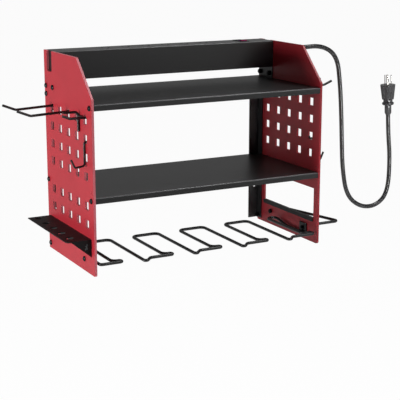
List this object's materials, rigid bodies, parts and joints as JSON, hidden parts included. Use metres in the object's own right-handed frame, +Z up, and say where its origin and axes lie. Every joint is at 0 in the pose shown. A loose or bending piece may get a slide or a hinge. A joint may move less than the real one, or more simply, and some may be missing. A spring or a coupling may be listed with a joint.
{
  "type": "wall-mounted power tool organizer",
  "caption": "Two red side panels carry black shelves, a socket strip, wire hooks, a drill rack, a screwdriver rack and a hammer rail.",
  "frame": {"origin": "centre of the four wall holes, on the wall plane", "axes": "+X to the viewer's right across the front, +Y into the wall, +Z up"},
  "size_m": [0.8501, 0.2317, 0.3698],
  "materials": {
    "red_paint": "satin powder coat",
    "black_paint": "satin powder coat",
    "black_strip": "smooth satin paint",
    "black_plastic": "fine moulded texture",
    "red_plastic": "glossy, tinted through",
    "black_rubber": "smooth matt",
    "cord_jacket": "smooth satin jacket",
    "contact_brass": "plain",
    "dark_zinc": "black zinc plate"
  },
  "bodies": {
    "organizer": {"side_panel_left": "red_paint", "side_panel_right": "red_paint", "wall_angle_left": "black_paint", "wall_angle_right": "black_paint", "top_shelf": "black_paint", "lower_shelf": "black_paint", "frame_screws": "dark_zinc", "frame_nuts": "dark_zinc", "strip_housing": "black_strip", "strip_base": "black_strip", "strip_end_left": "black_strip", "strip_end_right": "black_strip", "contact_bar_rear": "contact_brass", "contact_bar_front": "contact_brass", "contact_bar_ground": "contact_brass", "switch_housing": "black_plastic", "switch_tabs": "contact_brass", "strain_relief": "black_plastic", "gland_nut": "black_plastic", "power_cord": "cord_jacket", "plug_body": "black_plastic", "plug_blades": "contact_brass", "plug_ground_pin": "contact_brass", "drill_rack": "black_paint", "drill_rack_plates": "black_paint", "screwdriver_rack": "black_paint", "driver_rack_screws": "dark_zinc", "driver_rack_nuts": "dark_zinc", "long_hook_left_rear": "black_paint", "long_hook_left_front": "black_paint", "short_hook_left": "black_paint", "drop_hook_left": "black_paint", "long_hook_right_rear": "black_paint", "long_hook_right_front": "black_paint", "drop_hook_right": "black_paint", "hammer_rail": "black_paint", "hammer_rail_plates": "black_paint", "rail_screw": "dark_zinc", "rail_nut": "dark_zinc", "window_sill": "black_rubber", "outlet_block_1": "black_plastic", "outlet_block_2": "black_plastic", "outlet_block_3": "black_plastic", "outlet_block_4": "black_plastic", "outlet_block_5": "black_plastic", "outlet_block_6": "black_plastic"},
    "rocker": {"switch_rocker": "red_plastic"}
  },
  "joints": [
    {"name": "switch_rock", "type": "hinge", "parent": "organizer", "child": "rocker", "pos_m": [0.1635, -0.026, 0.2], "axis": [1, 0, 0], "range_deg": [0, 16]}
  ]
}
